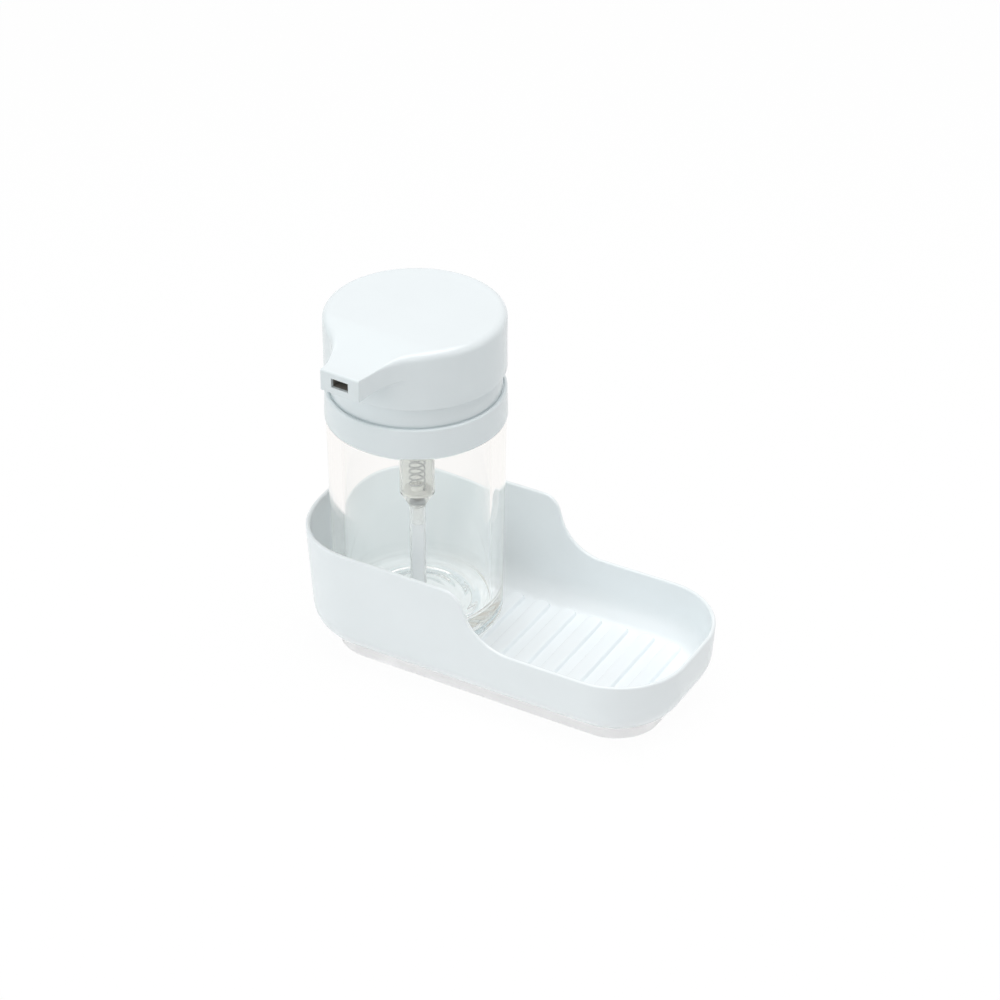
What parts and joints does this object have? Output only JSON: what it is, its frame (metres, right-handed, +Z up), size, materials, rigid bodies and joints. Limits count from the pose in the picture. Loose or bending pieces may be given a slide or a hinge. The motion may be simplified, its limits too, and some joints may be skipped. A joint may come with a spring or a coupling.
{
  "type": "soap pump caddy",
  "caption": "Oval tray with a clear pump bottle for soap in its deep end and a ribbed, draining bay for a sponge in its shallow end.",
  "frame": {"origin": "on the bottle's axis, at the surface that the tray stands on", "axes": "+X along the tray to the sponge end, -Y towards the spout at rest, +Z up"},
  "size_m": [0.1804, 0.0974, 0.1602],
  "materials": {
    "white_plastic": "smooth gloss, cool near white",
    "foot_rubber": "soft matt, near white",
    "clear_plastic": "clear, very faint cream tint, polished",
    "milky_plastic": "translucent, unpolished",
    "seal_rubber": "soft matt grey",
    "ball_steel": "polished",
    "spring_steel": "bright drawn wire"
  },
  "bodies": {
    "tray": {"tray_shell": "white_plastic", "base_foot": "foot_rubber"},
    "bottle": {"bottle": "clear_plastic"},
    "pump": {"guide_drum": "white_plastic", "mouth_gasket": "seal_rubber", "mouth_disc": "white_plastic", "cylinder_gasket": "seal_rubber", "pump_cylinder": "milky_plastic", "cylinder_cap": "white_plastic", "stem_wiper": "seal_rubber", "valve_cage": "milky_plastic", "dip_tube": "milky_plastic", "return_spring": "spring_steel"},
    "collar": {"collar_ring": "white_plastic"},
    "piston": {"stem": "milky_plastic", "piston_cup": "seal_rubber", "outlet_seat": "white_plastic"},
    "head": {"head_cap": "white_plastic", "head_core": "white_plastic", "socket_seal": "seal_rubber", "spout_nozzle": "white_plastic"},
    "inlet_valve": {"inlet_ball": "ball_steel"},
    "outlet_valve": {"outlet_ball": "ball_steel"}
  },
  "joints": [
    {"name": "bottle_lift", "type": "slide", "parent": "tray", "child": "bottle", "axis": [0, 0, 1], "range_m": [0, 0.055]},
    {"name": "pump_rise", "type": "slide", "parent": "bottle", "child": "pump", "axis": [0, 0, 1], "range_m": [0, 0.00252]},
    {"name": "collar_turn", "type": "hinge", "parent": "pump", "child": "collar", "pos_m": [0, 0, 0.1178], "axis": [0, 0, 1], "range_deg": [0, 75]},
    {"name": "head_press", "type": "slide", "parent": "pump", "child": "piston", "axis": [0, 0, -1], "range_m": [0, 0.0085], "stiffness_N_per_m": 400, "springref_m": -0.006, "deforming": ["return_spring"]},
    {"name": "head_swivel", "type": "hinge", "parent": "piston", "child": "head", "pos_m": [0, 0, 0.146], "axis": [0, 0, 1], "continuous": true},
    {"name": "inlet_ball_rise", "type": "slide", "parent": "pump", "child": "inlet_valve", "axis": [0, 0, 1], "range_m": [0, 0.0009]},
    {"name": "outlet_ball_rise", "type": "slide", "parent": "piston", "child": "outlet_valve", "axis": [0, 0, 1], "range_m": [0, 0.0012]}
  ],
  "couplings": [
    {"joint": "pump_rise", "follows": "collar_turn", "m_per_rad": 0.0019099}
  ]
}
